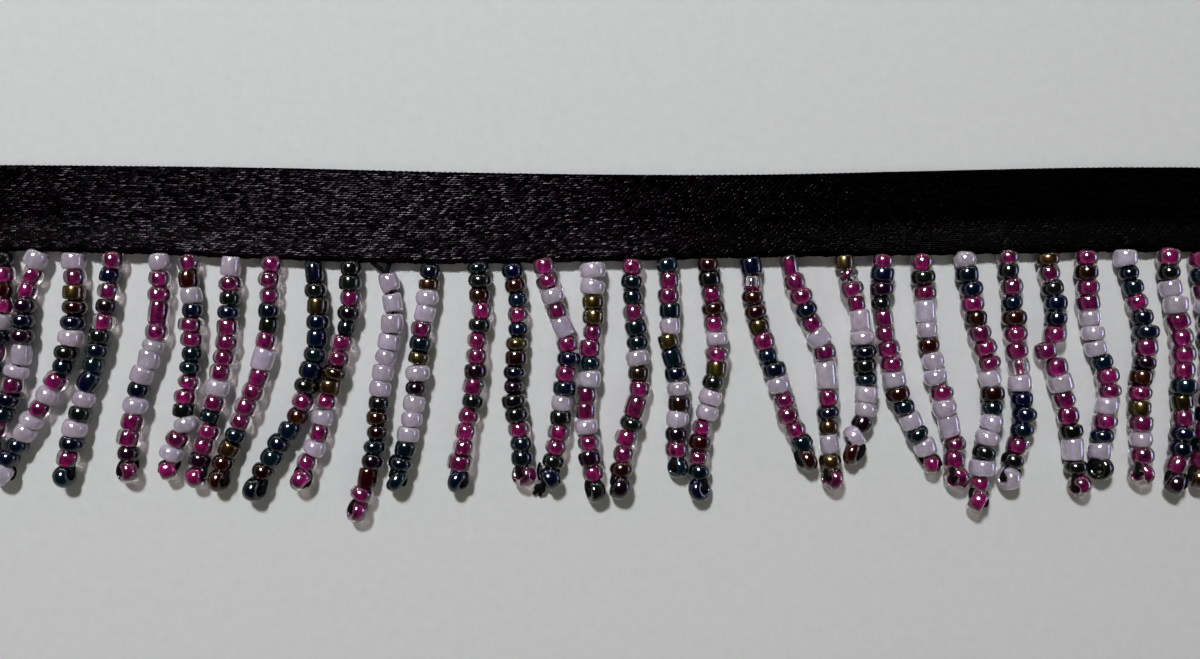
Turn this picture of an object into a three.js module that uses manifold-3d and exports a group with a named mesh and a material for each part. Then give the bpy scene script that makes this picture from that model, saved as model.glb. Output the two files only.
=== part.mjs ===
// A cut length of ribbon trim with a fringe of threaded beads, laid flat.
// Millimetres, +Z up. X runs along the ribbon, -Y is its fringed side and Z = 0 is the surface
// that it lies on. The origin is in the middle of the ribbon's flat underside, half way along.

import Module from 'manifold-3d';
import * as THREE from 'three';
import { mergeVertices } from 'three/addons/utils/BufferGeometryUtils.js';

const wasm = await Module();
wasm.setup();

// The ribbon: its cut length, and how far in from the fringed edge it leaves the surface
const RIBBON_LENGTH = 150;
const SHEET_THICKNESS = 1;
const RISE_WIDTH = 4.2;
const RISE_STEPS = 4;
const STEPS_ALONG = 60;

// The heading: the ribbon's fringed edge, parted from it as the strip that carries the strands
const HEADING_WIDTH = 1.1;
const PARTING_GAP = 0.3;

// The ribbon's two edges in plan and the height of its fringed edge, at evenly spaced places
// from one cut end to the other
const EDGE_ROWS = [
  { plain: 4.2, fringed: -5.7, lift: 1.9 },
  { plain: 4.1, fringed: -6.0, lift: 1.7 },
  { plain: 3.85, fringed: -6.7, lift: 1.45 },
  { plain: 3.4, fringed: -7.2, lift: 1.4 },
  { plain: 3.1, fringed: -6.95, lift: 1.5 },
  { plain: 3.1, fringed: -6.5, lift: 1.7 },
  { plain: 3.5, fringed: -6.25, lift: 1.7 },
  { plain: 3.9, fringed: -5.9, lift: 1.35 },
  { plain: 3.9, fringed: -5.85, lift: 1.15 },
];

// Beads by the letter of their colour: P pink lined, L lilac, N navy, T teal, G green grey,
// O olive, B brown, V plum, C clear
const BEAD_KINDS = {
  P: { length: 1.72, radius: 1.2 },
  L: { length: 1.75, radius: 1.27 },
  N: { length: 1.62, radius: 1.18 },
  T: { length: 1.62, radius: 1.12 },
  G: { length: 1.56, radius: 1.12 },
  O: { length: 1.6, radius: 1.12 },
  B: { length: 1.62, radius: 1.15 },
  V: { length: 1.62, radius: 1.16 },
  C: { length: 1.5, radius: 1.15 },
};

// Marks after a bead's letter: a long bead, a very long one and a thin one
const LENGTH_MARKS = { '': 1, '+': 1.3, '++': 1.95, '-': 0.75 };

// One row for each strand, from left to right. root is its place along the ribbon, drop is how far
// its first bead lies past the ribbon's edge, and fall is how far its last bead lies past the first.
// lean is how far it has strayed along X at each fifth of its fall, and beads are in threaded order.
const STRANDS = [
  {
    root: -72.2, drop: 0.8, fall: 24.4, lean: [-0.3, -0.9, -1.8, -2.8, -3.7],
    beads: 'P G P N L P T P B L P P N P T',
  },
  {
    root: -67.8, drop: 0.95, fall: 24.2, lean: [0.0, -0.7, -2.2, -4.0, -5.6],
    beads: 'G P B P L N P T L N P P O L N',
  },
  {
    root: -64.0, drop: 0.85, fall: 24.6, lean: [-1.5, -1.6, -2.8, -4.65, -6.25],
    beads: 'L P P V N V L+ L- P N T P G P N',
  },
  {
    root: -59.8, drop: 1.0, fall: 24.2, lean: [0.2, -0.45, -2.4, -5.45, -8.2],
    beads: 'L P O B N L G T P L P L- L T N L',
  },
  {
    root: -55.25, drop: 0.8, fall: 24.5, lean: [-0.7, -1.7, -3.05, -4.3, -5.45],
    beads: 'P N P V P G T T N+ L G L N P T',
  },
  {
    root: -50.0, drop: 0.8, fall: 23.75, lean: [0.0, -0.7, -2.4, -3.2, -3.65],
    beads: 'L P P P+ P L- L L N L P P V P',
  },
  {
    root: -46.7, drop: 0.75, fall: 23.45, lean: [0.35, 0.35, -0.1, -1.0, -2.4],
    beads: 'P B+ L N P P T T P P G L P L P',
  },
  {
    root: -41.95, drop: 0.95, fall: 23.9, lean: [-0.1, -0.6, -1.6, -2.7, -3.9],
    beads: 'L+ P G N P P P P L P T P P V P',
  },
  {
    root: -37.3, drop: 0.5, fall: 24.55, lean: [-0.35, -0.7, -2.15, -4.2, -5.9],
    beads: 'P P P N G P L+ P P P P T O B B',
  },
  {
    root: -32.5, drop: 1.3, fall: 24.6, lean: [0.45, 0.0, -1.15, -4.0, -6.7],
    beads: 'N+ G O N N T N G P B T N T B T',
  },
  {
    root: -28.3, drop: 0.75, fall: 23.95, lean: [-0.2, -1.25, -2.7, -3.75, -5.55],
    beads: 'G G P V T P P B O P L P L P P',
  },
  {
    root: -23.85, drop: 2.2, fall: 25.95, lean: [0.1, -0.9, -1.35, -2.15, -3.75],
    beads: 'L+ L+ L+ L L L L G B B T V B+ P P',
  },
  {
    root: -19.3, drop: 0.95, fall: 23.6, lean: [-0.55, -1.25, -1.7, -2.5, -3.65],
    beads: 'N O- L L P T O L V L L L T N T',
  },
  {
    root: -13.75, drop: 0.5, fall: 24.1, lean: [0.2, -0.2, -0.7, -1.6, -2.3],
    beads: 'T- G B P G P P V P G P P P P N',
  },
  {
    root: -9.8, drop: 0.9, fall: 23.15, lean: [0.55, 0.35, 0.0, 0.7, 1.15],
    beads: 'N B T P T O B N V G G P T T P',
  },
  {
    root: -6.25, drop: 0.4, fall: 24.05, lean: [1.15, 2.85, 2.15, 1.5, 0.55],
    beads: 'P P L P L+ P N P T L G P P G N',
  },
  {
    root: -0.8, drop: 1.0, fall: 25.0, lean: [0.0, -0.35, -0.8, -0.55, 0.35],
    beads: 'L L O O P P T L P P L P V P G',
  },
  {
    root: 3.65, drop: 0.65, fall: 25.0, lean: [0.2, 0.7, 0.55, -0.7, -1.35],
    beads: 'P T T P T T L O P P+ G P P B V',
  },
  {
    root: 7.75, drop: 0.6, fall: 22.9, lean: [0.2, 0.2, 1.15, 1.0, 1.0],
    beads: 'T P P T L O T+ N L B L V P T',
  },
  {
    root: 12.4, drop: 0.7, fall: 25.45, lean: [0.45, 0.9, 0.1, -1.0, -1.15],
    beads: 'B G P B P L P O G L L P B P T N',
  },
  {
    root: 17.15, drop: 0.95, fall: 21.95, lean: [0.35, 1.5, 3.05, 4.45, 6.5],
    beads: 'N+ C B B O P T N L P P P T B',
  },
  {
    root: 21.6, drop: 0.9, fall: 24.2, lean: [1.7, 3.75, 4.2, 4.3, 4.65],
    beads: 'P+ P P N P L P L++ P N O L+ O P',
  },
  {
    root: 27.75, drop: 0.7, fall: 21.6, lean: [1.15, 2.15, 2.4, 2.3, 0.6],
    beads: 'O C P P L+ L N G T L L V L B',
  },
  {
    root: 32.05, drop: 0.6, fall: 22.95, lean: [-0.1, 0.45, 1.35, 3.3, 5.7],
    beads: 'P- N V G P P P P L B T L T L P',
  },
  {
    root: 36.6, drop: 0.75, fall: 24.5, lean: [0.35, 0.9, 1.95, 3.3, 3.85],
    beads: 'P G P L+ L B L L P L L+ P P P',
  },
  {
    root: 41.5, drop: 0.55, fall: 27.35, lean: [0.9, 2.25, 3.05, 2.05, 1.35],
    beads: 'L T N P B P P P L B T L L G L P P',
  },
  {
    root: 46.25, drop: 0.4, fall: 25.05, lean: [0.55, 1.0, 1.6, 1.6, 0.2],
    beads: 'P- G P T B P P P L N N T P G L',
  },
  {
    root: 50.7, drop: 0.7, fall: 25.65, lean: [1.15, 0.7, 1.95, 2.85, 3.7],
    beads: 'O- P G N N P P P L P P G L+ G P',
  },
  {
    root: 55.2, drop: 0.6, fall: 23.9, lean: [0.2, 1.0, 2.6, 1.9, 1.5],
    beads: 'P B P P L L L T P P L P N L G',
  },
  {
    root: 59.65, drop: 0.65, fall: 24.5, lean: [1.35, 2.3, 1.7, 1.7, 1.8],
    beads: 'L N T P N N P V B P O P L P P',
  },
  {
    root: 64.45, drop: 0.55, fall: 25.7, lean: [0.8, 1.7, 1.7, 1.8, 0.7],
    beads: 'P G L L P P P P T O P N N P V',
  },
  {
    root: 68.2, drop: 0.9, fall: 24.7, lean: [0.6, 1.1, 1.0, 0.3, -0.3],
    beads: 'P T P L P N B P L P T P G P O',
  },
  {
    root: 72.3, drop: 0.5, fall: 24.6, lean: [0.2, 0.7, 1.0, 0.7, 0.3],
    beads: 'L P N P G P L P P T P B L P N',
  },
];

// A strand's four-sided section: full at a bead's middle, drawn in where two beads meet,
// and slight where it comes out of the heading
const FULL = { width: 0.8, low: 0, high: 2 };
const WAIST = { width: 0.45, low: 0.4, high: 1.6 };
const NECK_WIDTH = 0.35;
const NECK_HEIGHT = 0.6;
const NECK_REACH = 0.9;
const ROUTE_STEPS = 60;

const ribbonLook = new THREE.MeshStandardMaterial({ color: 0x17101a, roughness: 0.45, metalness: 0 });
const fringeLook = new THREE.MeshStandardMaterial({ color: 0x7d3a63, roughness: 0.15, metalness: 0 });

// A smooth curve through evenly spaced values, at a place from 0, the first, to 1, the last
function smoothThrough(values, place) {
  const last = values.length - 1;
  const at = THREE.MathUtils.clamp(place, 0, 1) * last;
  const i = Math.min(Math.floor(at), last - 1);
  const t = at - i;
  const [a, b, c, d] = [i - 1, i, i + 1, i + 2].map((k) => values[THREE.MathUtils.clamp(k, 0, last)]);
  return b + 0.5 * t * (c - a + t * (2 * a - 5 * b + 4 * c - d + t * (3 * (b - c) + d - a)));
}

function alongRibbon(column, x) {
  return smoothThrough(EDGE_ROWS.map((row) => row[column]), x / RIBBON_LENGTH + 0.5);
}

// The underside's height at a place along the ribbon and a distance in from its fringed edge
function underside(x, inward) {
  const nearness = 1 - THREE.MathUtils.smoothstep(inward, 0, RISE_WIDTH);
  return (alongRibbon('lift', x) - SHEET_THICKNESS / 2) * nearness;
}

function closedGeometry(points, triangles) {
  const geometry = new THREE.BufferGeometry();
  geometry.setAttribute('position', new THREE.Float32BufferAttribute(points, 3));
  geometry.setIndex(triangles);
  return geometry;
}

// A sheet between two of the ribbon's length-wise lines. Each line is a function that gives a
// place's distance in from the fringed edge.
function sheetGeometry(lines) {
  const points = [];
  for (const top of [0, SHEET_THICKNESS]) {
    for (let i = 0; i <= STEPS_ALONG; i++) {
      const x = RIBBON_LENGTH * (i / STEPS_ALONG - 0.5);
      for (const line of lines) {
        const inward = line(x);
        points.push(x, alongRibbon('fringed', x) + inward, underside(x, inward) + top);
      }
    }
  }
  const across = lines.length;
  const layer = (STEPS_ALONG + 1) * across;
  const at = (i, j, top) => top * layer + i * across + j;
  const triangles = [];
  const quad = (a, b, c, d) => triangles.push(a, b, c, a, c, d);
  for (let i = 0; i < STEPS_ALONG; i++) {
    for (let j = 0; j < across - 1; j++) {
      quad(at(i, j, 1), at(i + 1, j, 1), at(i + 1, j + 1, 1), at(i, j + 1, 1));
      quad(at(i, j, 0), at(i, j + 1, 0), at(i + 1, j + 1, 0), at(i + 1, j, 0));
    }
    const far = across - 1;
    quad(at(i, 0, 0), at(i + 1, 0, 0), at(i + 1, 0, 1), at(i, 0, 1));
    quad(at(i, far, 0), at(i, far, 1), at(i + 1, far, 1), at(i + 1, far, 0));
  }
  for (let j = 0; j < across - 1; j++) {
    const end = STEPS_ALONG;
    quad(at(0, j, 0), at(0, j, 1), at(0, j + 1, 1), at(0, j + 1, 0));
    quad(at(end, j, 0), at(end, j + 1, 0), at(end, j + 1, 1), at(end, j, 1));
  }
  return closedGeometry(points, triangles);
}

function ribbonGeometry() {
  const lines = [];
  const start = HEADING_WIDTH + PARTING_GAP;
  for (let j = 0; j <= RISE_STEPS; j++) {
    lines.push(() => start + (RISE_WIDTH - start) * (j / RISE_STEPS));
  }
  lines.push((x) => alongRibbon('plain', x) - alongRibbon('fringed', x));
  return sheetGeometry(lines);
}

function headingGeometry() {
  return sheetGeometry([() => 0, () => HEADING_WIDTH]);
}

function readBeads(text) {
  return text.split(' ').map((word) => {
    const kind = BEAD_KINDS[word[0]];
    return { radius: kind.radius, length: kind.length * LENGTH_MARKS[word.slice(1)] };
  });
}

// The strand's route in plan, as a function of the distance along it from the first bead's middle
function strandRoute(strand) {
  const top = alongRibbon('fringed', strand.root) - strand.drop;
  const leans = [0, ...strand.lean];
  const places = [];
  for (let k = 0; k <= ROUTE_STEPS; k++) {
    const share = k / ROUTE_STEPS;
    places.push(new THREE.Vector2(strand.root + smoothThrough(leans, share), top - strand.fall * share));
  }
  const lengths = [0];
  for (let k = 1; k <= ROUTE_STEPS; k++) {
    lengths.push(lengths[k - 1] + places[k].distanceTo(places[k - 1]));
  }
  const pointAt = (distance) => {
    let k = 1;
    while (k < ROUTE_STEPS && lengths[k] < distance) k++;
    const share = (distance - lengths[k - 1]) / (lengths[k] - lengths[k - 1]);
    const heading = places[k].clone().sub(places[k - 1]);
    const point = places[k - 1].clone().addScaledVector(heading, share);
    return { point, side: new THREE.Vector2(-heading.y, heading.x).normalize() };
  };
  return { pointAt, total: lengths[ROUTE_STEPS] };
}

// The strand's rings, from inside the heading to the far side of the last bead
function strandRings(strand) {
  const beads = readBeads(strand.beads);
  const route = strandRoute(strand);
  const lengths = beads.map((bead) => bead.length);
  const nominal = lengths.reduce((sum, length) => sum + length, 0) - (lengths[0] + lengths.at(-1)) / 2;
  const fit = route.total / nominal;
  const ring = (distance, shape, radius) => ({
    ...route.pointAt(distance),
    width: shape.width * radius,
    low: shape.low * radius,
    high: shape.high * radius,
  });
  const edge = alongRibbon('fringed', strand.root);
  const middle = underside(strand.root, 0) + SHEET_THICKNESS / 2;
  const neck = {
    point: new THREE.Vector2(strand.root, edge + NECK_REACH),
    side: new THREE.Vector2(1, 0),
    width: NECK_WIDTH,
    low: middle - NECK_HEIGHT / 2,
    high: middle + NECK_HEIGHT / 2,
  };
  const rings = [neck];
  let distance = -lengths[0] * fit / 2;
  for (const bead of beads) {
    rings.push(ring(distance, WAIST, bead.radius));
    rings.push(ring(distance + bead.length * fit / 2, FULL, bead.radius));
    distance += bead.length * fit;
  }
  rings.push(ring(distance, WAIST, beads.at(-1).radius));
  return rings;
}

function strandGeometry(strand) {
  const rings = strandRings(strand);
  const points = [];
  for (const { point, side, width, low, high } of rings) {
    for (const [way, height] of [[-1, low], [1, low], [1, high], [-1, high]]) {
      points.push(point.x + way * width * side.x, point.y + way * width * side.y, height);
    }
  }
  const triangles = [0, 2, 1, 0, 3, 2];
  for (let i = 0; i < rings.length - 1; i++) {
    for (let j = 0; j < 4; j++) {
      const [a, b] = [4 * i + j, 4 * i + (j + 1) % 4];
      triangles.push(a, b, b + 4, a, b + 4, a + 4);
    }
  }
  const last = 4 * (rings.length - 1);
  triangles.push(last, last + 1, last + 2, last, last + 2, last + 3);
  return closedGeometry(points, triangles);
}

function toSolid(geometry) {
  const merged = mergeVertices(geometry);
  return new wasm.Manifold(new wasm.Mesh({
    numProp: 3,
    vertProperties: merged.attributes.position.array,
    triVerts: Uint32Array.from(merged.index.array),
  }));
}

function toGeometry(solid) {
  const mesh = solid.getMesh();
  return closedGeometry(mesh.vertProperties, Array.from(mesh.triVerts));
}

function fringeGeometry() {
  let fringe = toSolid(headingGeometry());
  for (const strand of STRANDS) {
    fringe = fringe.add(toSolid(strandGeometry(strand)));
  }
  return toGeometry(fringe);
}

function piece(name, geometry, look) {
  const mesh = new THREE.Mesh(geometry, look);
  mesh.name = name;
  return mesh;
}

const group = new THREE.Group();
group.add(piece('ribbon', ribbonGeometry(), ribbonLook));
group.add(piece('fringe', fringeGeometry(), fringeLook));

export default group;
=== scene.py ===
import math

import bpy
import numpy as np
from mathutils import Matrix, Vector


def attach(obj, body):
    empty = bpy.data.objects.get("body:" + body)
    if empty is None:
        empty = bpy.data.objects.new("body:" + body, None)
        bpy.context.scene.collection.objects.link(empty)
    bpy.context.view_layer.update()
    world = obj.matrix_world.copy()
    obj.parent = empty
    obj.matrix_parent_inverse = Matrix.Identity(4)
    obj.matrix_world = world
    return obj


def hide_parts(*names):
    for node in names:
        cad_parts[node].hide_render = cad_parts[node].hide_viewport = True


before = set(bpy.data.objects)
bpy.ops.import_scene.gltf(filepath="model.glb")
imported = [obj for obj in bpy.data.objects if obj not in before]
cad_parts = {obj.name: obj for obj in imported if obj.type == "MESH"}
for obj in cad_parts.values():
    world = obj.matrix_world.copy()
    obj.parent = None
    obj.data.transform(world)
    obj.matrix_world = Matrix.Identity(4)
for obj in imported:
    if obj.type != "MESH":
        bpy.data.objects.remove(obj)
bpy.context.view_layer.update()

# Sizes are in millimetres, and MM turns them into metres where Blender takes them
MM = 0.001
rng = np.random.default_rng(7)

# Ribbon: from its fringed edge it comes down to the surface over RISE_WIDTH. The rows are the same
# as the solid's: its two edges in plan and the height of its fringed edge, at evenly spaced places
# from one cut end to the other.
RIBBON_LENGTH = 150
RISE_WIDTH = 4.2
RIBBON_THICKNESS = 0.22
EDGE_ROWS = [
    dict(plain=4.2, fringed=-5.7, lift=1.9),
    dict(plain=4.1, fringed=-6.0, lift=1.7),
    dict(plain=3.85, fringed=-6.7, lift=1.45),
    dict(plain=3.4, fringed=-7.2, lift=1.4),
    dict(plain=3.1, fringed=-6.95, lift=1.5),
    dict(plain=3.1, fringed=-6.5, lift=1.7),
    dict(plain=3.5, fringed=-6.25, lift=1.7),
    dict(plain=3.9, fringed=-5.9, lift=1.35),
    dict(plain=3.9, fringed=-5.85, lift=1.15),
]
# How far the fringed edge's underside lies below its row's height, and how each strand's root
# draws the edge down
EDGE_DEPTH = 0.3
ROOT_DIP = 0.06
ROOT_DIP_WIDTH = 1.3
# The ribbon's faint waves off the surface: their height, the lengths that they swing over, and
# how far in from the fringed edge they start and are full
WAVE_HEIGHT = 0.05
WAVE_ALONG = 7.3
WAVE_ACROSS = 3.1
WAVE_DRIFT = 19
WAVE_RISE = (0.5, 2.5)
# The woven loops along both edges, and the thread's uneven tugs at the fringed edge
SCALLOP_PITCH = 0.62
SCALLOP_DEPTH = 0.035
SCALLOP_CLOSENESS = 12
EDGE_TUGS = [
    dict(depth=0.045, rate=1.9, phase=0),
    dict(depth=0.03, rate=4.3, phase=1),
    dict(depth=0.02, rate=9.1, phase=0),
]
TUG_CLOSENESS = 8
# The ribbon's mesh: steps along it and lines across it
RIBBON_STEPS = 480
RIBBON_LINES = 36

# Beads by the letter of their colour: P clear with a magenta lining, L lilac, N navy, T teal,
# G green black, O olive bronze, B brown, V plum and C almost clear. tint is the glass, coat or
# lining colour, metal is how metallic the coat is, and square is how straight a bead's side is,
# from 0, round, to 1.
KINDS = {
    "P": dict(length=1.72, radius=1.27, tint=(0.16, 0.003, 0.07), metal=0, square=0.2),
    "L": dict(length=1.75, radius=1.29, tint=(0.5, 0.43, 0.54), metal=0, square=0.35),
    "N": dict(length=1.62, radius=1.3, tint=(0.0012, 0.002, 0.011), metal=0.18, square=0.15),
    "T": dict(length=1.62, radius=1.25, tint=(0.001, 0.0045, 0.01), metal=0.18, square=0.2),
    "G": dict(length=1.56, radius=1.28, tint=(0.0022, 0.0032, 0.0027), metal=0.18, square=0.2),
    "O": dict(length=1.6, radius=1.23, tint=(0.036, 0.025, 0.009), metal=0.8, square=0.6),
    "B": dict(length=1.62, radius=1.29, tint=(0.013, 0.002, 0.001), metal=0.25, square=0.2),
    "V": dict(length=1.62, radius=1.28, tint=(0.006, 0.0006, 0.0045), metal=0.18, square=0.2),
    "C": dict(length=1.5, radius=1.15, tint=(0.75, 0.35, 0.5), metal=0, square=0.3),
}
# A mark after a bead's letter makes it longer or shorter, and a longer one is thinner and straighter
LENGTH_MARKS = {"": 1, "+": 1.3, "++": 1.95, "-": 0.75}
LONG_BEAD = dict(radius=0.9, square=0.75)

# The strands, the same rows as the solid's. root is a strand's place along the ribbon, drop is how
# far its first bead lies past the ribbon's edge, fall is how far its last bead lies past the first,
# lean is how far it has strayed along X at each fifth of its fall, and beads are in threaded order.
STRANDS = [
    dict(root=-72.2, drop=0.8, fall=24.4, lean=[-0.3, -0.9, -1.8, -2.8, -3.7],
         beads="P G P N L P T P B L P P N P T"),
    dict(root=-67.8, drop=0.95, fall=24.2, lean=[0.0, -0.7, -2.2, -4.0, -5.6],
         beads="G P B P L N P T L N P P O L N"),
    dict(root=-64.0, drop=0.85, fall=24.6, lean=[-1.5, -1.6, -2.8, -4.65, -6.25],
         beads="L P P V N V L+ L- P N T P G P N"),
    dict(root=-59.8, drop=1.0, fall=24.2, lean=[0.2, -0.45, -2.4, -5.45, -8.2],
         beads="L P O B N L G T P L P L- L T N L"),
    dict(root=-55.25, drop=0.8, fall=24.5, lean=[-0.7, -1.7, -3.05, -4.3, -5.45],
         beads="P N P V P G T T N+ L G L N P T"),
    dict(root=-50.0, drop=0.8, fall=23.75, lean=[0.0, -0.7, -2.4, -3.2, -3.65],
         beads="L P P P+ P L- L L N L P P V P"),
    dict(root=-46.7, drop=0.75, fall=23.45, lean=[0.35, 0.35, -0.1, -1.0, -2.4],
         beads="P B+ L N P P T T P P G L P L P"),
    dict(root=-41.95, drop=0.95, fall=23.9, lean=[-0.1, -0.6, -1.6, -2.7, -3.9],
         beads="L+ P G N P P P P L P T P P V P"),
    dict(root=-37.3, drop=0.5, fall=24.55, lean=[-0.35, -0.7, -2.15, -4.2, -5.9],
         beads="P P P N G P L+ P P P P T O B B"),
    dict(root=-32.5, drop=1.3, fall=24.6, lean=[0.45, 0.0, -1.15, -4.0, -6.7],
         beads="N+ G O N N T N G P B T N T B T"),
    dict(root=-28.3, drop=0.75, fall=23.95, lean=[-0.2, -1.25, -2.7, -3.75, -5.55],
         beads="G G P V T P P B O P L P L P P"),
    dict(root=-23.85, drop=2.2, fall=25.95, lean=[0.1, -0.9, -1.35, -2.15, -3.75],
         beads="L+ L+ L+ L L L L G B B T V B+ P P"),
    dict(root=-19.3, drop=0.95, fall=23.6, lean=[-0.55, -1.25, -1.7, -2.5, -3.65],
         beads="N O- L L P T O L V L L L T N T"),
    dict(root=-13.75, drop=0.5, fall=24.1, lean=[0.2, -0.2, -0.7, -1.6, -2.3],
         beads="T- G B P G P P V P G P P P P N"),
    dict(root=-9.8, drop=0.9, fall=23.15, lean=[0.55, 0.35, 0.0, 0.7, 1.15],
         beads="N B T P T O B N V G G P T T P"),
    dict(root=-6.25, drop=0.4, fall=24.05, lean=[1.15, 2.85, 2.15, 1.5, 0.55],
         beads="P P L P L+ P N P T L G P P G N"),
    dict(root=-0.8, drop=1.0, fall=25.0, lean=[0.0, -0.35, -0.8, -0.55, 0.35],
         beads="L L O O P P T L P P L P V P G"),
    dict(root=3.65, drop=0.65, fall=25.0, lean=[0.2, 0.7, 0.55, -0.7, -1.35],
         beads="P T T P T T L O P P+ G P P B V"),
    dict(root=7.75, drop=0.6, fall=22.9, lean=[0.2, 0.2, 1.15, 1.0, 1.0],
         beads="T P P T L O T+ N L B L V P T"),
    dict(root=12.4, drop=0.7, fall=25.45, lean=[0.45, 0.9, 0.1, -1.0, -1.15],
         beads="B G P B P L P O G L L P B P T N"),
    dict(root=17.15, drop=0.95, fall=21.95, lean=[0.35, 1.5, 3.05, 4.45, 6.5],
         beads="N+ C B B O P T N L P P P T B"),
    dict(root=21.6, drop=0.9, fall=24.2, lean=[1.7, 3.75, 4.2, 4.3, 4.65],
         beads="P+ P P N P L P L++ P N O L+ O P"),
    dict(root=27.75, drop=0.7, fall=21.6, lean=[1.15, 2.15, 2.4, 2.3, 0.6],
         beads="O C P P L+ L N G T L L V L B"),
    dict(root=32.05, drop=0.6, fall=22.95, lean=[-0.1, 0.45, 1.35, 3.3, 5.7],
         beads="P- N V G P P P P L B T L T L P"),
    dict(root=36.6, drop=0.75, fall=24.5, lean=[0.35, 0.9, 1.95, 3.3, 3.85],
         beads="P G P L+ L B L L P L L+ P P P"),
    dict(root=41.5, drop=0.55, fall=27.35, lean=[0.9, 2.25, 3.05, 2.05, 1.35],
         beads="L T N P B P P P L B T L L G L P P"),
    dict(root=46.25, drop=0.4, fall=25.05, lean=[0.55, 1.0, 1.6, 1.6, 0.2],
         beads="P- G P T B P P P L N N T P G L"),
    dict(root=50.7, drop=0.7, fall=25.65, lean=[1.15, 0.7, 1.95, 2.85, 3.7],
         beads="O- P G N N P P P L P P G L+ G P"),
    dict(root=55.2, drop=0.6, fall=23.9, lean=[0.2, 1.0, 2.6, 1.9, 1.5],
         beads="P B P P L L L T P P L P N L G"),
    dict(root=59.65, drop=0.65, fall=24.5, lean=[1.35, 2.3, 1.7, 1.7, 1.8],
         beads="L N T P N N P V B P O P L P P"),
    dict(root=64.45, drop=0.55, fall=25.7, lean=[0.8, 1.7, 1.7, 1.8, 0.7],
         beads="P G L L P P P P T O P N N P V"),
    dict(root=68.2, drop=0.9, fall=24.7, lean=[0.6, 1.1, 1.0, 0.3, -0.3],
         beads="P T P L P N B P L P T P G P O"),
    dict(root=72.3, drop=0.5, fall=24.6, lean=[0.2, 0.7, 1.0, 0.7, 0.3],
         beads="L P N P G P L P P T P B L P N"),
]

# Beads knocked out of line: which strand and bead, how far aside and how far turned in degrees
KNOCKED = [
    dict(strand=6, bead=11, aside=0.9, turn=35),
    dict(strand=27, bead=6, aside=-0.85, turn=10),
    dict(strand=12, bead=1, aside=0.0, turn=18),
    dict(strand=22, bead=12, aside=-0.2, turn=-24),
    dict(strand=11, bead=0, aside=-0.1, turn=14),
    dict(strand=25, bead=4, aside=0.0, turn=-16),
    dict(strand=26, bead=1, aside=0.0, turn=-14),
    dict(strand=22, bead=1, aside=0.1, turn=30),
    dict(strand=2, bead=0, aside=0.0, turn=-16),
    dict(strand=7, bead=0, aside=0.0, turn=4),
]
# Beads with little lining, mostly clear: the lining's share of the radius and where along the
# bead it begins and ends, from -1 to 1
THINLY_LINED = [
    dict(strand=20, bead=1, share=0.8, span=(0.45, 0.95)),
    dict(strand=22, bead=1, share=0.5, span=(-0.9, 0.0)),
    dict(strand=26, bead=7, share=0.34, span=(-0.95, 0.95)),
    dict(strand=26, bead=0, share=0.4, span=(-0.95, 0.95)),
    dict(strand=27, bead=1, share=0.4, span=(-0.95, 0.95)),
    dict(strand=2, bead=1, share=0.43, span=(-0.95, 0.95)),
    dict(strand=3, bead=1, share=0.43, span=(-0.95, 0.95)),
    dict(strand=4, bead=2, share=0.42, span=(-0.95, 0.95)),
]

# How the beads of a strand lie: the room for its turn bead, and how high above the surface an axis
# lies, in radii
TURN_SPACING = 2.25
BEAD_LIFT = 1.04
# How the beads vary: shares of the radius and length, millimetres aside and degrees turned
RADIUS_SPREAD = 0.055
LENGTH_SPREAD = 0.08
LENGTH_RANGE = (-0.6, 0.6)
ASIDE_SPREAD = 0.07
TURN_SPREAD = 6
# The turn bead lies across its strand: its size, the most it is turned and tilted, in degrees,
# and how much of its length then counts towards its height
TURN_BEAD = dict(swell=1.08, turn=30, tilt=50, rise=0.3)
# Beads of neighbouring strands are parted in rounds, by a share of what is lacking each time
PARTING_ROUNDS = 12
PARTING_SHARE = 0.3
# Steps of a strand's line, and how far either side of a bead its heading is taken
ROUTE_STEPS = 60
HEADING_REACH = 0.5

# A bead's mesh: points round it and round its wall's outline. The outline is fine out to FINE_ARC
# degrees either side of its crest and has three points towards the hole.
BEAD_SIDES = 28
LINING_SIDES = 20
WALL_POINTS = 16
FINE_ARC = 105
HOLE_ANGLES = (140, 180, 220)
HOLE_SHARE = 0.36
# Where a wall is longest, as a share of its thickness, for a round bead and added for a square one
CREST_SHARE = 0.2
CREST_SQUARED = 0.35
CORNER_POWER = 0.5
# How uneven a bead is: two and three lumps round it, ends askew, and how square it is
LUMPS = dict(two=0.025, three=0.014, skew=0.14)
SQUARE_SPREAD = 0.28
SQUAREST = 0.92
# How far the beads of a kind vary in colour
LILAC_SPREAD = 0.12
IRIS_SPREAD = 0.45
LINING_SPREAD = 0.3
CHANNEL_SHARE = 0.25
# The lining of a clear bead: its share of the radius, where along the bead it begins and ends, from
# -1 to 1, its inner radius as a share of its outer one, and how straight its side is
LINING_SHARE = (0.44, 0.55)
LINING_SPAN = (-0.93, 0.93)
LINING_WALL = 0.86
LINING_SQUARE = 0.6

# Thread, and how closely it is twisted
THREAD_RADIUS = 0.2
TURN_THREAD_RADIUS = 0.26
LOOSE_THREAD_RADIUS = 0.25
THREAD_SIDES = 8
THREAD_STEPS = 4
PLY_RATE = 2.2
# Where a strand's two threads meet the ribbon's edge, either side of its root. The strand that
# drops further than LOOSE_DROP hangs on a loose loop.
STITCH_FEET = (-0.35, 0.35)
LOOSE_FEET = (-2.0, -0.15)
LOOSE_DROP = 1.5
# A root's threads: how far in under the ribbon they start, how much they splay there, how far in
# the ribbon's height is taken, how close to it they start, in thread radii, and how far from the
# first bead's middle they go in, as a share of its length
FOOT_DEPTH = 0.8
FOOT_SPLAY = 0.4
FOOT_RISE = 0.6
FOOT_CLOSENESS = 0.6
FIRST_ENTRY = 0.45
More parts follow.
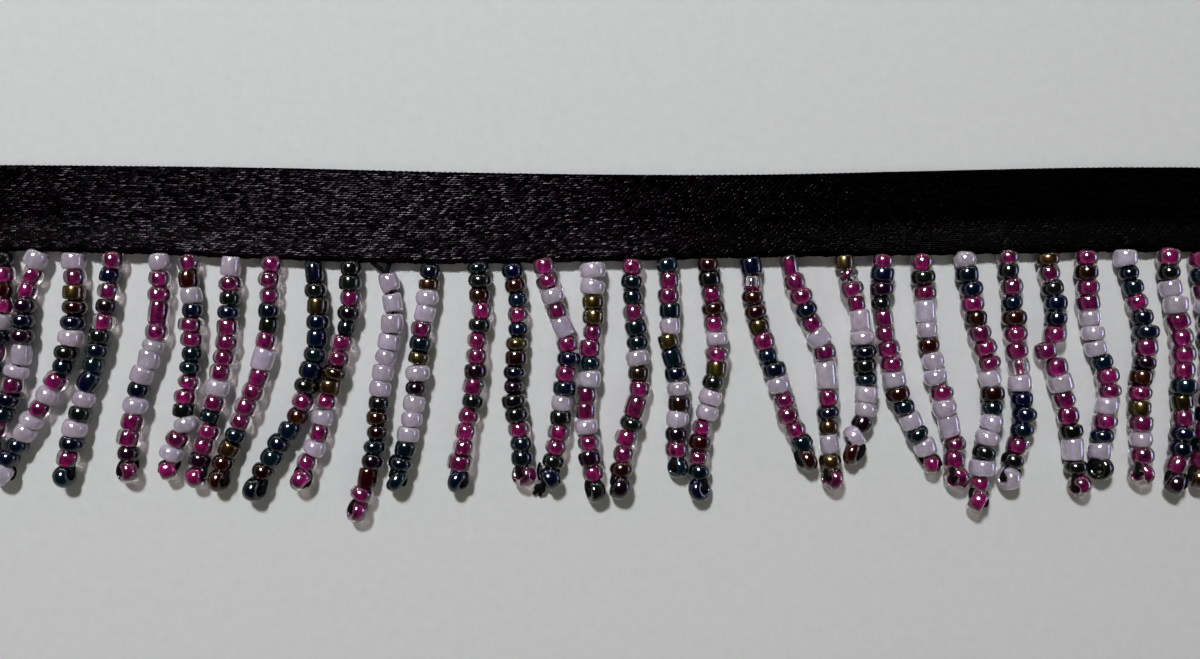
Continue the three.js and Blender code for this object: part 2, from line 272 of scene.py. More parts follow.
# The loop round a turn bead: where it leaves the bead before and where it rounds the turn bead's
# shoulders, as shares of their lengths and radius, and how proud of the holes it stands
LOOP_LEAVE = 0.42
LOOP_SHOULDER = dict(along=0.45, back=0.85)
LOOP_PROUD = 0.3
# The knot and the cut ends left at one strand's tip
TAILS = [
    dict(radius=0.3, points=[(-6.3, -32.0, 0.7), (-6.6, -32.5, 1.0), (-7.2, -32.6, 0.8),
                             (-7.1, -33.1, 0.5), (-6.5, -33.0, 0.8), (-6.7, -32.5, 0.6),
                             (-7.3, -32.9, 0.4)]),
    dict(radius=0.24, points=[(-6.9, -32.6, 0.5), (-7.3, -33.2, 0.4), (-7.6, -33.5, 0.3)]),
    dict(radius=0.24, points=[(-6.7, -32.7, 0.4), (-6.8, -33.3, 0.3), (-6.9, -33.7, 0.25)]),
    dict(radius=0.16, points=[(-6.9, -31.9, 0.5), (-7.1, -30.8, 0.5), (-6.85, -29.9, 0.6)]),
]

# Satin: its rows of floats, how far each row is shifted from the last, in floats, and how far the
# rows sway, in rows
FLOAT_ROW = 0.25
FLOAT_LENGTH = 0.62
SATIN_STEP = -0.4
SATIN_SWAY = 0.6
# How a float leans: its crown across, its slant, the dip at its ends, its own lean along the
# ribbon and the cloth's slow drift
FLOAT_CROWN = 1.2
FLOAT_SLANT = 0.3
FLOAT_DIP = 8
FLOAT_LEAN = (-0.08, 0.14)
SATIN_DRIFT = 0.1
# How rare bright floats are, and the colours of the darkest and the brightest
GLINT_POWER = 2.4
SATIN_DARK = (0.0002, 0.0001, 0.0002)
SATIN_PALE = (0.0056, 0.0048, 0.0054)
# The plain selvedges along the two edges. The fringed one is partly a plain selvedge and partly
# painted shade: it is drawn wider and dark where that edge rolls down
SELVEDGE = 0.22
FRINGED_SELVEDGE_AND_SHADE = 0.5

# Clear glass: how much of the light that spreads goes straight through it, and how it is dimmed
STRAIGHT_SHARE = 0.7
STRAIGHT_TINT = (0.3, 0.26, 0.27, 1)
# Thread and floor colours, each from dark to pale
THREAD_TINTS = ((0.001, 0.001, 0.0012), (0.006, 0.005, 0.006))
FLOOR_TINTS = ((0.60, 0.612, 0.615), (0.63, 0.642, 0.645))
FLOOR_WIDTH = 1800
FLOOR_DEPTH = 0.02

# Lamps, all aimed at the middle of the view: a strong one over the plain edge's side with a wide
# one for its glints, a broad weak fill over the fringe's side, three small ones low behind the
# plain edge and a low bluish window. size is across, in millimetres, and power is in watts.
LAMPS = [
    dict(name="key", place=(-112, 262, 410), size=72, power=2.22, colour=(0.99, 0.985, 1.0)),
    dict(name="fill", place=(60, -430, 260), size=260, power=0.36, colour=(1.0, 0.97, 0.84),
         gloss=False),
    dict(name="glint", place=(-120, 232, 450), size=180, power=8.0, diffuse=False),
    dict(name="far_left", place=(-230, 437, 130), size=45, power=0.15, diffuse=False),
    dict(name="far_middle", place=(-10, 485, 146), size=45, power=0.15, diffuse=False),
    dict(name="far_right", place=(208, 443, 80), size=45, power=0.15, diffuse=False),
    dict(name="window", place=(540, 0, 115), size=240, power=0.6, colour=(0.5, 0.54, 1.0),
         shape="RECTANGLE", size_y=110, diffuse=False),
]
# The surround's glow at heights from 0, the horizon, to 1, overhead
SURROUND = [
    dict(height=0.0, glow=(0.70, 0.69, 0.60)),
    dict(height=0.25, glow=(0.32, 0.315, 0.27)),
    dict(height=0.45, glow=(0.08, 0.079, 0.07)),
    dict(height=0.65, glow=(0.015, 0.015, 0.016)),
    dict(height=1.0, glow=(0.008, 0.008, 0.009)),
]

# Camera: straight down over the middle of the view, which is VIEW_WIDTH wide at the beads' height.
# It sees nothing closer than NEAREST.
VIEW_WIDTH = 136.4
VIEW_MIDDLE_Y = -14.67
BEAD_HEIGHT = 1.2
LENS = 30
SENSOR = 36
NEAREST = 5


def smooth_through(values, place):
    """A smooth curve through evenly spaced values, at places from 0, the first, to 1, the last."""
    values = np.asarray(values, float)
    last = len(values) - 1
    at = np.clip(place, 0, 1) * last
    i = np.minimum(np.floor(at), last - 1).astype(int)
    t = at - i
    a, b, c, d = (values[np.clip(i + k, 0, last)] for k in (-1, 0, 1, 2))
    return b + 0.5 * t * (c - a + t * (2 * a - 5 * b + 4 * c - d + t * (3 * (b - c) + d - a)))


def along_ribbon(column, x):
    """One column of the ribbon's rows at places along it."""
    return smooth_through([row[column] for row in EDGE_ROWS], np.asarray(x) / RIBBON_LENGTH + 0.5)


def smoothstep(value, low, high):
    share = np.clip((value - low) / (high - low), 0, 1)
    return share * share * (3 - 2 * share)


def make_mesh(name, points, quads, attributes=(), smooth=True):
    """A mesh object from points in millimetres and four-cornered faces. attributes are
    (name, kind, one row for each point)."""
    mesh = bpy.data.meshes.new(name)
    mesh.from_pydata((np.asarray(points) * MM).tolist(), [], np.asarray(quads).tolist())
    mesh.polygons.foreach_set("use_smooth", [smooth] * len(mesh.polygons))
    for title, kind, rows in attributes:
        layer = mesh.attributes.new(title, kind, "POINT")
        field = {"FLOAT_COLOR": "color", "FLOAT_VECTOR": "vector"}[kind]
        layer.data.foreach_set(field, np.asarray(rows, float).ravel())
    mesh.update()
    piece = bpy.data.objects.new(name, mesh)
    bpy.context.collection.objects.link(piece)
    return piece


# Camera, floor and light

def add_camera():
    data = bpy.data.cameras.new("camera")
    data.lens = LENS
    data.sensor_width = SENSOR
    data.clip_start = NEAREST * MM
    camera = bpy.data.objects.new("camera", data)
    distance = VIEW_WIDTH * LENS / SENSOR
    camera.location = (0, VIEW_MIDDLE_Y * MM, (BEAD_HEIGHT + distance) * MM)
    bpy.context.collection.objects.link(camera)
    bpy.context.scene.camera = camera


def add_area_light(name, place, aim, size, power, colour=(1, 1, 1), shape="DISK", size_y=None,
                   diffuse=True, gloss=True):
    """A lamp at place that looks at aim. diffuse and gloss say what it lights."""
    data = bpy.data.lights.new(name, "AREA")
    data.shape = shape
    data.size = size * MM
    if size_y:
        data.size_y = size_y * MM
    data.energy = power
    data.color = colour
    lamp = bpy.data.objects.new(name, data)
    lamp.visible_diffuse = diffuse
    lamp.visible_transmission = diffuse
    lamp.visible_glossy = gloss
    lamp.location = np.array(place) * MM
    way = np.array(aim, float) - np.array(place, float)
    lamp.rotation_euler = Vector(way).to_track_quat("-Z", "Y").to_euler()
    bpy.context.collection.objects.link(lamp)


def add_lights():
    aim = (0, VIEW_MIDDLE_Y, 0)
    for lamp in LAMPS:
        add_area_light(aim=aim, **lamp)


def add_world():
    """A soft studio surround, bright near the floor and dark overhead."""
    world = bpy.data.worlds.new("studio")
    bpy.context.scene.world = world
    world.use_nodes = True
    nodes, links = world.node_tree.nodes, world.node_tree.links
    place = nodes.new("ShaderNodeTexCoord")
    split = nodes.new("ShaderNodeSeparateXYZ")
    links.new(place.outputs["Generated"], split.inputs[0])
    ramp = nodes.new("ShaderNodeValToRGB")
    steps = ramp.color_ramp.elements
    while len(steps) < len(SURROUND):
        steps.new(0.5)
    for step, row in zip(steps, SURROUND):
        step.position = row["height"]
        step.color = (*row["glow"], 1)
    links.new(split.outputs["Z"], ramp.inputs[0])
    links.new(ramp.outputs[0], nodes["Background"].inputs["Color"])


def add_floor():
    half = FLOOR_WIDTH / 2
    points = [(-half, -half, 0), (half, -half, 0), (half, half, 0), (-half, half, 0)]
    floor = make_mesh("floor", points, [(0, 1, 2, 3)], smooth=False)
    floor.location.z = -FLOOR_DEPTH * MM
    pale = Surface("floor")
    grain = pale.noise(pale.place(), scale=900, detail=3)
    dark_tint, pale_tint = FLOOR_TINTS
    pale.feed("Base Color", pale.ramp(grain, (0.3, dark_tint), (0.7, pale_tint)))
    pale.set(Roughness=0.9, Specular_IOR_Level=0.1)
    floor.data.materials.append(pale.material)


# Materials

class Surface:
    """A Principled material and short ways to add the nodes that feed it."""

    def __init__(self, name):
        self.material = bpy.data.materials.new(name)
        self.material.use_nodes = True
        self.nodes, self.links = self.material.node_tree.nodes, self.material.node_tree.links
        self.shader = self.nodes["Principled BSDF"]

    def set(self, **values):
        """Constants of the shader, by socket name with _ for a space."""
        for name, value in values.items():
            self.shader.inputs[name.replace("_", " ")].default_value = value

    def feed(self, name, socket):
        self.links.new(socket, self.shader.inputs[name])

    def fill(self, node, values):
        """Gives a node's inputs, in order, each from a socket or a constant."""
        for socket, value in zip(node.inputs, values):
            if isinstance(value, bpy.types.NodeSocket):
                self.links.new(value, socket)
            elif value is not None:
                socket.default_value = value
        return node

    def maths(self, operation, *values):
        node = self.nodes.new("ShaderNodeMath")
        node.operation = operation
        return self.fill(node, values).outputs[0]

    def vector(self, operation, *values):
        node = self.nodes.new("ShaderNodeVectorMath")
        node.operation = operation
        return self.fill(node, values).outputs[0]

    def combine(self, *values):
        return self.fill(self.nodes.new("ShaderNodeCombineXYZ"), values).outputs[0]

    def split(self, socket):
        return self.fill(self.nodes.new("ShaderNodeSeparateXYZ"), [socket]).outputs

    def place(self):
        return self.nodes.new("ShaderNodeTexCoord").outputs["Object"]

    def attribute(self, name, output="Vector"):
        node = self.nodes.new("ShaderNodeAttribute")
        node.attribute_name = name
        return node.outputs[output]

    def noise(self, place, scale, detail):
        node = self.nodes.new("ShaderNodeTexNoise")
        node.inputs["Scale"].default_value = scale
        node.inputs["Detail"].default_value = detail
        self.links.new(place, node.inputs["Vector"])
        return node.outputs["Fac"]

    def chance(self, cell):
        """Two random numbers for each cell of a pattern."""
        node = self.nodes.new("ShaderNodeTexWhiteNoise")
        self.links.new(cell, node.inputs["Vector"])
        return node.outputs["Value"], self.split(node.outputs["Color"])[1]

    def ramp(self, share, *steps):
        """Colours that share runs through. steps are (position, colour)."""
        node = self.nodes.new("ShaderNodeValToRGB")
        elements = node.color_ramp.elements
        while len(elements) < len(steps):
            elements.new(0.5)
        for element, (position, colour) in zip(elements, steps):
            element.position = position
            element.color = (*colour, 1)
        self.links.new(share, node.inputs[0])
        return node.outputs[0]

    def between(self, share, low, high):
        """A number that goes from low to high as share goes from 0 to 1."""
        node = self.nodes.new("ShaderNodeMapRange")
        node.inputs["To Min"].default_value = low
        node.inputs["To Max"].default_value = high
        self.links.new(share, node.inputs["Value"])
        return node.outputs[0]

    def recolour(self, colour, hue=0.5, saturation=1.0, value=1.0):
        node = self.nodes.new("ShaderNodeHueSaturation")
        self.fill(node, [hue, saturation, value, None, colour])
        return node.outputs[0]

    def bump(self, height, strength, depth):
        node = self.nodes.new("ShaderNodeBump")
        node.inputs["Strength"].default_value = strength
        node.inputs["Distance"].default_value = depth * MM
        self.links.new(height, node.inputs["Height"])
        self.feed("Normal", node.outputs[0])


def satin_material():
    """Satin weave: staggered rows of short floats over a near-black plum ground. Each float is
    crowned across, dips at its ends, runs a little aslant and lies a little its own way, so that it
    shows a thin glint or none. The selvedges are plain; the fringed one is drawn wider, partly as
    painted shade where that edge rolls down."""
    satin = Surface("satin")
    cloth = satin.attribute("cloth")
    along, inward, edge = satin.split(cloth)
    sway = satin.between(satin.noise(cloth, scale=0.35, detail=1), -SATIN_SWAY, SATIN_SWAY)
    across = satin.maths("MULTIPLY_ADD", inward, 1 / FLOAT_ROW, sway)
    row = satin.maths("FLOOR", across)
    stagger = satin.maths("MULTIPLY", row, SATIN_STEP)
    lengthwise = satin.maths("MULTIPLY_ADD", along, 1 / FLOAT_LENGTH, stagger)
    first, second = satin.chance(satin.combine(row, satin.maths("FLOOR", lengthwise)))
    in_row = satin.maths("SUBTRACT", satin.maths("FRACT", across), 0.5)
    in_float = satin.maths("SUBTRACT", satin.maths("FRACT", lengthwise), 0.5)
    dip = satin.maths("POWER", satin.maths("MULTIPLY", in_float, in_float), 2)
    dip = satin.maths("MULTIPLY", satin.maths("MULTIPLY", dip, in_float), FLOAT_DIP)
    drift = satin.between(satin.noise(cloth, scale=0.11, detail=1), -SATIN_DRIFT, SATIN_DRIFT)
    own_lean = satin.between(first, *FLOAT_LEAN)
    lean_along = satin.maths("ADD", satin.maths("ADD", dip, drift), own_lean)
    aslant = satin.maths("MULTIPLY_ADD", in_float, -FLOAT_SLANT, in_row)
    lean_across = satin.maths("MULTIPLY", aslant, FLOAT_CROWN)
    facing = satin.nodes.new("ShaderNodeNewGeometry").outputs["Normal"]
    leaning = satin.vector("ADD", facing, satin.combine(lean_along, lean_across, 0.0))
    satin.feed("Normal", satin.vector("NORMALIZE", leaning))
    # Floats glint only off the selvedges. The gloss-less band along the fringed edge is wider than a
    # selvedge, painted shade where that edge rolls down
    woven = satin.maths("GREATER_THAN", edge, SELVEDGE)
    gloss = satin.maths("MULTIPLY", satin.maths("POWER", second, GLINT_POWER), woven)
    satin.feed("Base Color", satin.ramp(gloss, (0.0, SATIN_DARK), (1.0, SATIN_PALE)))
    satin.feed("Roughness", satin.between(first, low=0.15, high=0.25))
    satin.set(Metallic=1.0)
    return satin.material


def iris_material():
    """Dark glass with a thin metallic coat whose colour drifts over each bead."""
    iris = Surface("iris_glass")
    drift = iris.noise(iris.place(), scale=700, detail=1)
    hue = iris.between(drift, low=0.38, high=0.6)
    value = iris.between(drift, low=0.3, high=2.0)
    tint = iris.recolour(iris.attribute("tint", "Color"), hue=hue, saturation=1.1, value=value)
    iris.feed("Base Color", tint)
    iris.feed("Metallic", iris.attribute("tint", "Alpha"))
    iris.set(Roughness=0.25, Specular_IOR_Level=0.05)
    iris.set(Coat_Weight=1.0, Coat_Roughness=0.05, Coat_IOR=1.53)
    return iris.material


def lilac_material():
    """Opal lilac glass with a pearly coat."""
    lilac = Surface("lilac_pearl")
    cloud = lilac.noise(lilac.place(), scale=1100, detail=2)
    value = lilac.between(cloud, low=0.55, high=1.35)
    lilac.feed("Base Color", lilac.recolour(lilac.attribute("tint", "Color"), value=value))
    lilac.set(Roughness=0.18, IOR=1.5, Transmission_Weight=0.3)
    lilac.set(Coat_Weight=1.0, Coat_Roughness=0.05, Coat_IOR=1.8)
    lilac.set(Sheen_Weight=1.0, Sheen_Roughness=0.25, Sheen_Tint=(0.95, 0.92, 1.0, 1))
    return lilac.material


def clear_glass_material():
    """Clear glass. The lamps' shadow rays and most of the light that spreads go straight through
    it, dimmed, so that the lining and the floor are lit evenly."""
    glass = Surface("clear_glass")
    glass.set(Base_Color=(0.97, 0.92, 0.95, 1), Roughness=0.03, IOR=1.5, Transmission_Weight=1.0)
    glass.set(Coat_Weight=1.0, Coat_Roughness=0.14, Coat_IOR=1.6)
    clear = glass.nodes.new("ShaderNodeBsdfTransparent")
    clear.inputs["Color"].default_value = STRAIGHT_TINT
    ray = glass.nodes.new("ShaderNodeLightPath").outputs
    mix = glass.nodes.new("ShaderNodeMixShader")
    straight = glass.maths("MULTIPLY_ADD", ray["Is Diffuse Ray"], STRAIGHT_SHARE,
                           ray["Is Shadow Ray"])
    glass.fill(mix, [straight, glass.shader.outputs[0], clear.outputs[0]])
    glass.links.new(mix.outputs[0], glass.nodes["Material Output"].inputs["Surface"])
    return glass.material


def lining_material():
    """Magenta lining, patchy in its depth of colour."""
    lining = Surface("magenta_lining")
    streak = lining.noise(lining.place(), scale=1700, detail=2)
    value = lining.between(streak, low=-0.6, high=2.4)
    lining.feed("Base Color", lining.recolour(lining.attribute("tint", "Color"), value=value))
    lining.set(Roughness=0.5, Specular_IOR_Level=0.0)
    return lining.material


def thread_material():
    """Black twisted thread."""
    thread = Surface("thread")
    wave = thread.nodes.new("ShaderNodeTexWave")
    wave.bands_direction = "DIAGONAL"
    thread.fill(wave, [thread.attribute("ply"), 1.0])
    twist = wave.outputs["Fac"]
    dark_tint, pale_tint = THREAD_TINTS
    thread.feed("Base Color", thread.ramp(twist, (0.0, dark_tint), (1.0, pale_tint)))
    thread.bump(twist, strength=0.6, depth=0.05)
    thread.set(Roughness=0.7, Specular_IOR_Level=0.02)
    return thread.material


# Where each bead lies

def strand_route(strand):
    """The strand's line in plan and the distance along it."""
    top = along_ribbon("fringed", strand["root"]) - strand["drop"]
    share = np.linspace(0, 1, ROUTE_STEPS + 1)
    places = np.stack([strand["root"] + smooth_through([0, *strand["lean"]], share),
                       top - strand["fall"] * share], 1)
    steps = np.linalg.norm(np.diff(places, axis=0), axis=1)
    return places, np.concatenate([[0], np.cumsum(steps)])


def bead_spacing(words, length):
    """Where the strand's beads lie along it, from the first to the last, and their lengths, fitted
    to the length of its line."""
    lengths = np.array([KINDS[word[0]]["length"] * LENGTH_MARKS[word[1:]] for word in words])
    spans = lengths.copy()
    spans[-1] = TURN_SPACING
    middles = np.cumsum(spans) - spans / 2
    fit = length / (middles[-1] - middles[0])
    return (middles - middles[0]) * fit, lengths * fit


def place_beads():
    """One record for each bead, lying on the surface along its strand."""
    beads = []
    for number, strand in enumerate(STRANDS):
        words = strand["beads"].split()
        places, distances = strand_route(strand)
        at, lengths = bead_spacing(words, distances[-1])

        def point_at(distance):
            return [np.interp(distance, distances, places[:, j]) for j in (0, 1)]

        for k, word in enumerate(words):
            kind = KINDS[word[0]]
            long = LENGTH_MARKS[word[1:]] > 1
            radius = kind["radius"] * (1 + RADIUS_SPREAD * rng.standard_normal())
            radius *= LONG_BEAD["radius"] if long else 1
            ahead = point_at(at[k] + HEADING_REACH)
            behind = point_at(at[k] - HEADING_REACH)
            heading = math.atan2(ahead[1] - behind[1], ahead[0] - behind[0])
            length = lengths[k] * (1 + LENGTH_SPREAD * rng.uniform(*LENGTH_RANGE))
            beads.append(dict(
                strand=number, order=k, letter=word[0], radius=radius, length=length,
                place=np.array(point_at(at[k])), route_heading=heading,
                heading=heading + math.radians(TURN_SPREAD) * rng.standard_normal(),
                aside=ASIDE_SPREAD * rng.standard_normal(), tilt=0.0, lift=radius * BEAD_LIFT,
                square=LONG_BEAD["square"] if long else kind["square"], last=k == len(words) - 1,
            ))
    knock_beads(beads)
    for bead in beads:
        bead["place"][0] += bead["aside"]
        if bead["last"]:
            lay_turn_bead(bead)
    part_strands(beads)
    return beads


def knock_beads(beads):
    for knock in KNOCKED:
        for bead in beads:
            if (bead["strand"], bead["order"]) == (knock["strand"], knock["bead"]):
                bead["aside"] = knock["aside"]
                bead["heading"] += math.radians(knock["turn"])


def lay_turn_bead(bead):
    """Lays a strand's last bead across it, a little turned and tilted."""
    bead["heading"] += math.radians(90 + rng.uniform(-TURN_BEAD["turn"], TURN_BEAD["turn"]))
    bead["tilt"] = math.radians(rng.uniform(-TURN_BEAD["tilt"], TURN_BEAD["tilt"]))
    bead["radius"] *= TURN_BEAD["swell"]
    bead["lift"] = (bead["radius"] * math.cos(bead["tilt"])
                    + bead["length"] * TURN_BEAD["rise"] * abs(math.sin(bead["tilt"])))


def part_strands(beads):
    """Moves beads of neighbouring strands apart, sideways, where they would lie in each other."""
    places = np.array([bead["place"] for bead in beads])
    radii = np.array([bead["radius"] for bead in beads])
    strands = np.array([bead["strand"] for bead in beads])
    other = strands[:, None] != strands[None, :]
    reach = radii[:, None] + radii[None, :]
    for _ in range(PARTING_ROUNDS):
        between = places[:, None, :] - places[None, :, :]
        apart = np.linalg.norm(between, axis=2)
        push = np.where(other, np.clip(reach - apart, 0, None), 0)
        places[:, 0] += (push * np.sign(between[:, :, 0])).sum(1) * PARTING_SHARE
    for bead, place in zip(beads, places):
        bead["place"] = place


# Bead meshes

def wall_section(outer, inner, half_length, square):
    """The rounded closed outline of a bead's wall: distances from its axis and along it. Most of
    the points are on the outside, and the wall is longest at its crest."""
    outside = np.linspace(-FINE_ARC, FINE_ARC, WALL_POINTS - len(HOLE_ANGLES))
    turn = np.radians(np.concatenate([outside, HOLE_ANGLES]))
    power = 1 - CORNER_POWER * square
    crest = inner + (outer - inner) * (CREST_SHARE + CREST_SQUARED * square)
    cosine, sine = np.cos(turn), np.sin(turn)
    reach = np.where(cosine > 0, outer - crest, crest - inner)
    radial = crest + reach * np.sign(cosine) * np.abs(cosine) ** power
    return radial, half_length * np.sign(sine) * np.abs(sine) ** power


def bead_axes(bead):
    """A bead's axis, its level side and the way up across them."""
    across = math.cos(bead["tilt"])
    axis = np.array([math.cos(bead["heading"]) * across, math.sin(bead["heading"]) * across,
                     math.sin(bead["tilt"])])
    side = np.array([-math.sin(bead["heading"]), math.cos(bead["heading"]), 0])
    return axis, side, np.cross(axis, side)


def bead_points(bead, outer, inner, half_length, square, sides):
    """The points of one bead's wall, ring by ring round its outline."""
    radial, along = wall_section(outer, inner, half_length, square)
    turn = np.linspace(0, 2 * math.pi, sides, endpoint=False)
    lumps = bead["lumps"]
    two = lumps["two"] * np.cos(2 * turn + lumps["phase"])
    r = radial[:, None] * (1 + two + lumps["three"] * np.cos(3 * turn))
    skewed = along[:, None] * (1 + lumps["skew"] * np.cos(turn + lumps["phase"]))
    axis, side, up = bead_axes(bead)
    middle = np.array([*bead["place"], bead["lift"]])
    spots = middle + skewed[..., None] * axis
    spots = spots + (r * np.cos(turn))[..., None] * side + (r * np.sin(turn))[..., None] * up
    return spots.reshape(-1, 3)


def ring_faces(rings, sides):
    """The faces of a closed ring, with both ways round joined up."""
    i, j = np.meshgrid(np.arange(rings), np.arange(sides), indexing="ij")
    a = i * sides + j
    b = i * sides + (j + 1) % sides
    c = (i + 1) % rings * sides + (j + 1) % sides
    d = (i + 1) % rings * sides + j
    return np.stack([a, b, c, d], -1).reshape(-1, 4)


def joined_beads(name, beads, make_one, sides, material):
    """One mesh of many beads. make_one gives a bead's points and its tint."""
    points, tints, quads = [], [], []
    faces = ring_faces(WALL_POINTS, sides)
    for bead in beads:
        spots, tint = make_one(bead)
        quads.append(faces + len(points) * WALL_POINTS * sides)
        points.append(spots)
        tints.append(np.tile([*tint, KINDS[bead["letter"]]["metal"]], (len(spots), 1)))
    piece = make_mesh(name, np.concatenate(points), np.concatenate(quads),
                      [("tint", "FLOAT_COLOR", np.concatenate(tints))])
    piece.data.materials.append(material)
    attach(piece, "root")
    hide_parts("fringe")


def varied(tint, spread):
    """A tint made a little lighter or darker and shifted between its channels, for one bead."""
    scale = 1 + spread * rng.uniform(-1, 1)
    shift = 1 + CHANNEL_SHARE * spread * rng.uniform(-1, 1, 3)
    return np.clip(np.array(tint) * scale * shift, 0, 1)


def give_lumps(beads):
    """Makes each bead uneven in its own way."""
    for bead in beads:
        bead["lumps"] = dict(
            two=LUMPS["two"] * rng.uniform(-1, 1), three=LUMPS["three"] * rng.uniform(-1, 1),
            phase=rng.uniform(0, 2 * math.pi), skew=LUMPS["skew"] * rng.uniform(-1, 1),
        )
        square = bead["square"] + SQUARE_SPREAD * rng.standard_normal()
        bead["square"] = float(np.clip(square, 0, SQUAREST))


def solid_bead(spread):
    """A maker of whole beads, whose tints vary by spread."""
    def make_one(bead):
        radius = bead["radius"]
        spots = bead_points(bead, radius, radius * HOLE_SHARE, bead["length"] / 2,
                            bead["square"], BEAD_SIDES)
        return spots, varied(KINDS[bead["letter"]]["tint"], spread)
    return make_one


def lining_tube(bead):
    """The coloured lining of a clear bead's hole, which the glass makes look half as wide again."""
    share, span = rng.uniform(*LINING_SHARE), LINING_SPAN
    for thin in THINLY_LINED:
        if (bead["strand"], bead["order"]) == (thin["strand"], thin["bead"]):
            share, span = thin["share"], thin["span"]
    outer = bead["radius"] * share
    half_length = bead["length"] * (span[1] - span[0]) / 4
    part = dict(bead)
    shift = bead_axes(bead)[0] * bead["length"] / 4 * (span[0] + span[1])
    part["place"] = bead["place"] + shift[:2]
    spots = bead_points(part, outer, outer * LINING_WALL, half_length, LINING_SQUARE, LINING_SIDES)
    return spots, varied(KINDS["P"]["tint"], LINING_SPREAD)


def add_beads(beads):
    give_lumps(beads)

    def of_kind(letters):
        return [bead for bead in beads if bead["letter"] in letters]

    joined_beads("beads_pink_glass", of_kind("PC"), solid_bead(0.0), BEAD_SIDES,
                 clear_glass_material())
    joined_beads("beads_pink_lining", of_kind("PC"), lining_tube, LINING_SIDES,
                 lining_material())
    joined_beads("beads_lilac", of_kind("L"), solid_bead(LILAC_SPREAD), BEAD_SIDES,
                 lilac_material())
    joined_beads("beads_iris", of_kind("NTGOBV"), solid_bead(IRIS_SPREAD), BEAD_SIDES,
                 iris_material())


# Ribbon

def ribbon_height(x, inward):
    """The underside's height: flat along the plain edge, lifted at the fringed one, where the
    strands' threads draw it down a little."""
    lift = along_ribbon("lift", x)
    for strand in STRANDS:
        lift = lift - ROOT_DIP * np.exp(-((x - strand["root"]) / ROOT_DIP_WIDTH) ** 2)
    nearness = 1 - smoothstep(inward, 0, RISE_WIDTH)
    swing = np.sin(x / WAVE_ALONG) * np.sin(inward / WAVE_ACROSS + x / WAVE_DRIFT)
    wave = WAVE_HEIGHT + WAVE_HEIGHT * swing
    return (lift - EDGE_DEPTH) * nearness + wave * smoothstep(inward, *WAVE_RISE)


def ribbon_faces(layer):
    """The faces of the ribbon's slab: its upper and lower sides, its two edges and its two cut
    ends. layer is how many points its underside has, which the upper side's come after."""
    across = RIBBON_LINES + 1
    i, j = np.meshgrid(np.arange(RIBBON_STEPS), np.arange(RIBBON_LINES), indexing="ij")
    a = (i * across + j).ravel()
    upper = np.stack([a, a + across, a + across + 1, a + 1], 1) + layer
    lower = np.stack([a, a + 1, a + across + 1, a + across], 1)
    near_line = np.arange(RIBBON_STEPS) * across
    near = np.stack([near_line, near_line + across, near_line + across + layer,
                     near_line + layer], 1)
    far_line = near_line + RIBBON_LINES
    far = np.stack([far_line, far_line + layer, far_line + across + layer, far_line + across], 1)
    first_row = np.arange(RIBBON_LINES)
    first = np.stack([first_row, first_row + layer, first_row + 1 + layer, first_row + 1], 1)
    last_row = first_row + RIBBON_STEPS * across
    last = np.stack([last_row, last_row + 1, last_row + 1 + layer, last_row + layer], 1)
    return np.concatenate([upper, lower, near, far, first, last])


def add_ribbon():
    x = np.linspace(-RIBBON_LENGTH / 2, RIBBON_LENGTH / 2, RIBBON_STEPS + 1)[:, None]
    share = np.linspace(0, 1, RIBBON_LINES + 1)[None, :]
    fringed = along_ribbon("fringed", x)
    width = along_ribbon("plain", x) - fringed
    inward = share * width
    scallop = SCALLOP_DEPTH * np.sin(2 * math.pi * x / SCALLOP_PITCH)
    near_edge = np.abs(share * 2 - 1) ** SCALLOP_CLOSENESS * np.sign(share - 0.5)
    tug = sum(row["depth"] * np.sin(row["rate"] * x + row["phase"]) for row in EDGE_TUGS)
    y = fringed + inward + scallop * near_edge + tug * (1 - share) ** TUG_CLOSENESS
    z = ribbon_height(x, inward)
    x = np.broadcast_to(x, y.shape)
    bottom = np.stack([x, y, z], -1).reshape(-1, 3)
    top = bottom + [0, 0, RIBBON_THICKNESS]
    # Distance to the nearer edge. On the fringed side it is scaled so that the dark plain band there
    # is wider, painted shade where that edge rolls down
    from_edge = np.minimum(width - inward, inward * SELVEDGE / FRINGED_SELVEDGE_AND_SHADE)
    cloth = np.stack([x, inward, from_edge], -1).reshape(-1, 3)
    ribbon = make_mesh("ribbon_satin", np.concatenate([bottom, top]), ribbon_faces(len(bottom)),
                       [("cloth", "FLOAT_VECTOR", np.concatenate([cloth, cloth]))])
    ribbon.data.materials.append(satin_material())
    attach(ribbon, "root")
    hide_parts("ribbon")
    return ribbon


# Thread

def smooth_line(points):
    """A smooth line through points."""
    points = np.asarray(points, float)
    share = np.linspace(0, 1, THREAD_STEPS * (len(points) - 1) + 1)
    return np.stack([smooth_through(points[:, k], share) for k in range(3)], 1)


